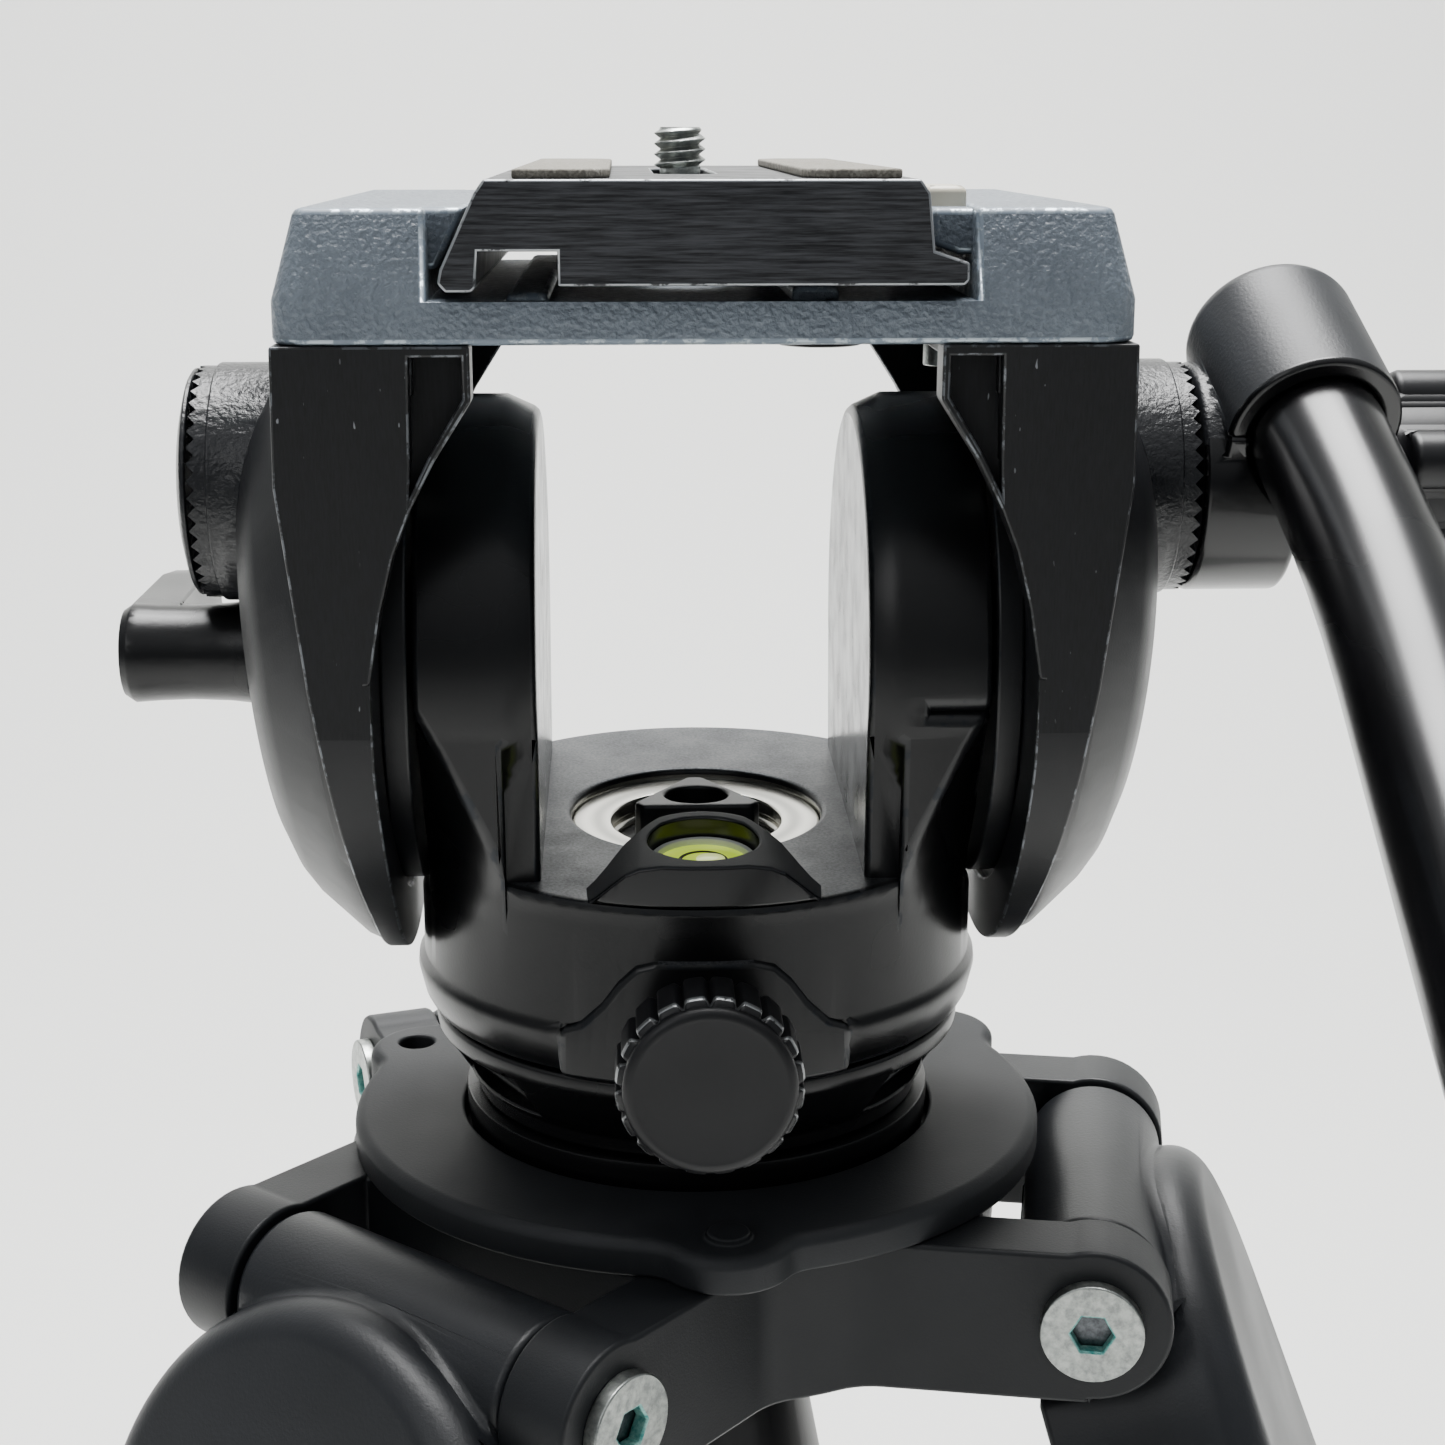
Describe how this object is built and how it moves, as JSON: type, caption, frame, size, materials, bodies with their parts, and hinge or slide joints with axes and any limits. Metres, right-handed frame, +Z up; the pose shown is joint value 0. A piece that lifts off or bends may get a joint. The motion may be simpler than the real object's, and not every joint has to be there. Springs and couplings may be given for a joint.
{
  "type": "tripod with fluid head",
  "caption": "Video tripod with a bridging fluid head: sliding camera plate, pan bar, bubble level, half-ball bowl, twin-tube legs and a mid-level spreader.",
  "frame": {"origin": "on the floor, under the pan axis, with the legs spread and retracted", "axes": "+Z up along the pan axis; +Y away from the operator, the way a camera looks; +X to the operator's right, the pan bar's side"},
  "size_m": [0.5157, 0.6221, 0.7767],
  "materials": {
    "plate_metal": "die-cast aluminium with a dark charcoal anodised finish, bright worn edges",
    "pad_rubber": "matte cork-rubber grip",
    "zinc_steel": "zinc-plated steel",
    "hammered_paint": "blue-grey crackle powder coat",
    "arm_paint": "satin black powder coat, thin worn edges",
    "black_satin": "satin black paint",
    "black_plastic": "satin moulded plastic",
    "crown_nylon": "matte glass-filled nylon",
    "catch_plastic": "cream gloss plastic",
    "tube_gloss": "gloss black tube",
    "leg_tube": "black anodised aluminium",
    "inner_tube": "clear anodised aluminium",
    "grip_rubber": "soft ribbed rubber",
    "foot_rubber": "matte rubber",
    "bright_steel": "turned bearing steel",
    "fluid": "lime-green bubble level under clear acrylic",
    "inner_steel": "plain steel inside the housings"
  },
  "bodies": {
    "crown": {"crown_casting": "crown_nylon", "ring_plate": "crown_nylon", "hinge_axles": "inner_steel", "hinge_bolts": "zinc_steel"},
    "ball": {"half_ball": "black_satin", "pan_base": "black_satin", "pan_nut": "black_satin", "tie_down_stud": "zinc_steel"},
    "tie_down": {"tie_down_knob": "black_plastic"},
    "pan_head": {"yoke": "black_satin", "bearing_ring": "bright_steel", "bubble_bezel": "black_plastic", "bubble_vial": "fluid"},
    "pan_lock": {"pan_lock_knob": "black_plastic"},
    "tilt_head": {"platform": "hammered_paint", "arm_left": "arm_paint", "arm_right": "arm_paint", "arm_screws": "zinc_steel", "rosette_cap": "black_satin", "tilt_shafts": "inner_steel", "tilt_flanges": "arm_paint", "drag_discs": "inner_steel", "counterbalance_spring": "inner_steel"},
    "tilt_lock": {"tilt_lock_lever": "black_plastic"},
    "plate_lock": {"plate_lock_lever": "black_plastic"},
    "plate_catch": {"plate_release_button": "catch_plastic"},
    "sliding_plate": {"camera_plate": "plate_metal", "grip_pads": "pad_rubber"},
    "screw": {"camera_screw": "zinc_steel"},
    "handle": {"pan_bar_clamp": "black_satin", "pan_bar": "tube_gloss", "bar_grip": "grip_rubber", "bar_cap": "black_plastic"},
    "handle_knob": {"clamp_knob": "black_plastic"},
    "spreader": {"spreader_hub": "black_plastic", "hub_pins": "zinc_steel"},
    "leg_1": {"leg_shoulder_1": "crown_nylon", "upper_tubes_1": "leg_tube", "leg_collar_1": "crown_nylon", "spreader_bracket_1": "crown_nylon"},
    "leg_lock_1": {"leg_lock_lever_1": "black_plastic"},
    "lower_leg_1": {"lower_tube_1": "inner_tube", "foot_1": "foot_rubber"},
    "arm_1": {"spreader_arm_1": "black_plastic"},
    "leg_2": {"leg_shoulder_2": "crown_nylon", "upper_tubes_2": "leg_tube", "leg_collar_2": "crown_nylon", "spreader_bracket_2": "crown_nylon"},
    "leg_lock_2": {"leg_lock_lever_2": "black_plastic"},
    "lower_leg_2": {"lower_tube_2": "inner_tube", "foot_2": "foot_rubber"},
    "arm_2": {"spreader_arm_2": "black_plastic"},
    "leg_3": {"leg_shoulder_3": "crown_nylon", "upper_tubes_3": "leg_tube", "leg_collar_3": "crown_nylon", "spreader_bracket_3": "crown_nylon"},
    "leg_lock_3": {"leg_lock_lever_3": "black_plastic"},
    "lower_leg_3": {"lower_tube_3": "inner_tube", "foot_3": "foot_rubber"},
    "arm_3": {"spreader_arm_3": "black_plastic"}
  },
  "joints": [
    {"name": "bowl_level", "type": "hinge", "parent": "crown", "child": "ball", "pos_m": [0, 0, 0.6565], "axis": [0, 1, 0], "range_deg": [-5, 5]},
    {"name": "tie_down_turn", "type": "hinge", "parent": "ball", "child": "tie_down", "pos_m": [0, 0, 0.6015], "axis": [0, 0, 1], "continuous": true},
    {"name": "head_pan", "type": "hinge", "parent": "ball", "child": "pan_head", "pos_m": [0, 0, 0.6765], "axis": [0, 0, 1], "continuous": true},
    {"name": "pan_lock_turn", "type": "hinge", "parent": "pan_head", "child": "pan_lock", "pos_m": [0, -0.045, 0.674], "axis": [0, 1, 0], "range_deg": [0, 270]},
    {"name": "head_tilt", "type": "hinge", "parent": "pan_head", "child": "tilt_head", "pos_m": [0, 0, 0.715], "axis": [1, 0, 0], "range_deg": [-75, 40]},
    {"name": "tilt_lock_turn", "type": "hinge", "parent": "tilt_head", "child": "tilt_lock", "pos_m": [-0.066, 0, 0.7132], "axis": [1, 0, 0], "range_deg": [0, 75]},
    {"name": "plate_lock_turn", "type": "hinge", "parent": "tilt_head", "child": "plate_lock", "pos_m": [0.018, 0.034, 0.7515], "axis": [0, 0, 1], "range_deg": [0, 60]},
    {"name": "plate_catch_press", "type": "slide", "parent": "tilt_head", "child": "plate_catch", "axis": [0, 0, -1], "range_m": [0, 0.0015], "stiffness_N_per_m": 400},
    {"name": "plate_slide", "type": "slide", "parent": "tilt_head", "child": "sliding_plate", "axis": [0, 1, 0], "range_m": [-0.02, 0.02]},
    {"name": "camera_screw_turn", "type": "hinge", "parent": "sliding_plate", "child": "screw", "pos_m": [-0.0015, 0.01, 0.7715], "axis": [0, 0, 1], "continuous": true},
    {"name": "handle_swivel", "type": "hinge", "parent": "tilt_head", "child": "handle", "pos_m": [0.062, 0, 0.7345], "axis": [-1, 0, 0], "range_deg": [-5, 60]},
    {"name": "handle_knob_turn", "type": "hinge", "parent": "handle", "child": "handle_knob", "pos_m": [0.08, 0, 0.7345], "axis": [1, 0, 0], "continuous": true},
    {"name": "leg_1_fold", "type": "hinge", "parent": "crown", "child": "leg_1", "pos_m": [-0.03411, -0.03925, 0.64], "axis": [0.7547, -0.6561, 0], "range_deg": [0, 19]},
    {"name": "leg_lock_1_flip", "type": "hinge", "parent": "leg_1", "child": "leg_lock_1", "pos_m": [-0.14487, -0.16666, 0.24903], "axis": [0.7547, -0.6561, 0], "range_deg": [0, 85]},
    {"name": "leg_1_extend", "type": "slide", "parent": "leg_1", "child": "lower_leg_1", "axis": [-0.2351, -0.2705, -0.9336], "range_m": [0, 0.28]},
    {"name": "leg_2_fold", "type": "hinge", "parent": "crown", "child": "leg_2", "pos_m": [0.05105, -0.00992, 0.64], "axis": [0.1908, 0.9816, 0], "range_deg": [0, 19]},
    {"name": "leg_lock_2_flip", "type": "hinge", "parent": "leg_2", "child": "leg_lock_2", "pos_m": [0.21677, -0.04213, 0.24903], "axis": [0.1908, 0.9816, 0], "range_deg": [0, 85]},
    {"name": "leg_2_extend", "type": "slide", "parent": "leg_2", "child": "lower_leg_2", "axis": [0.3518, -0.0684, -0.9336], "range_m": [0, 0.28]},
    {"name": "leg_3_fold", "type": "hinge", "parent": "crown", "child": "leg_3", "pos_m": [-0.01693, 0.04917, 0.64], "axis": [-0.9455, -0.3256, 0], "range_deg": [0, 19]},
    {"name": "leg_lock_3_flip", "type": "hinge", "parent": "leg_3", "child": "leg_lock_3", "pos_m": [-0.07189, 0.20879, 0.24903], "axis": [-0.9455, -0.3256, 0], "range_deg": [0, 85]},
    {"name": "leg_3_extend", "type": "slide", "parent": "leg_3", "child": "lower_leg_3", "axis": [-0.1167, 0.3388, -0.9336], "range_m": [0, 0.28]},
    {"name": "hub_rise", "type": "slide", "parent": "crown", "child": "spreader", "axis": [0, 0, 1], "range_m": [0, 0.05866]},
    {"name": "arm_1_fold", "type": "hinge", "parent": "spreader", "child": "arm_1", "pos_m": [-0.01443, -0.0166, 0.39706], "axis": [0.7547, -0.6561, 0], "range_deg": [0, 61.86]},
    {"name": "arm_2_fold", "type": "hinge", "parent": "spreader", "child": "arm_2", "pos_m": [0.0216, -0.0042, 0.39706], "axis": [0.1908, 0.9816, 0], "range_deg": [0, 61.86]},
    {"name": "arm_3_fold", "type": "hinge", "parent": "spreader", "child": "arm_3", "pos_m": [-0.00716, 0.0208, 0.39706], "axis": [-0.9455, -0.3256, 0], "range_deg": [0, 61.86]}
  ],
  "couplings": [
    {"joint": "leg_2_fold", "follows": "leg_1_fold", "ratio": 1},
    {"joint": "leg_3_fold", "follows": "leg_1_fold", "ratio": 1},
    {"joint": "hub_rise", "follows": "leg_1_fold", "m_per_rad": 0.17628},
    {"joint": "arm_1_fold", "follows": "leg_1_fold", "ratio": 3.2533},
    {"joint": "arm_2_fold", "follows": "leg_1_fold", "ratio": 3.2533},
    {"joint": "arm_3_fold", "follows": "leg_1_fold", "ratio": 3.2533}
  ]
}
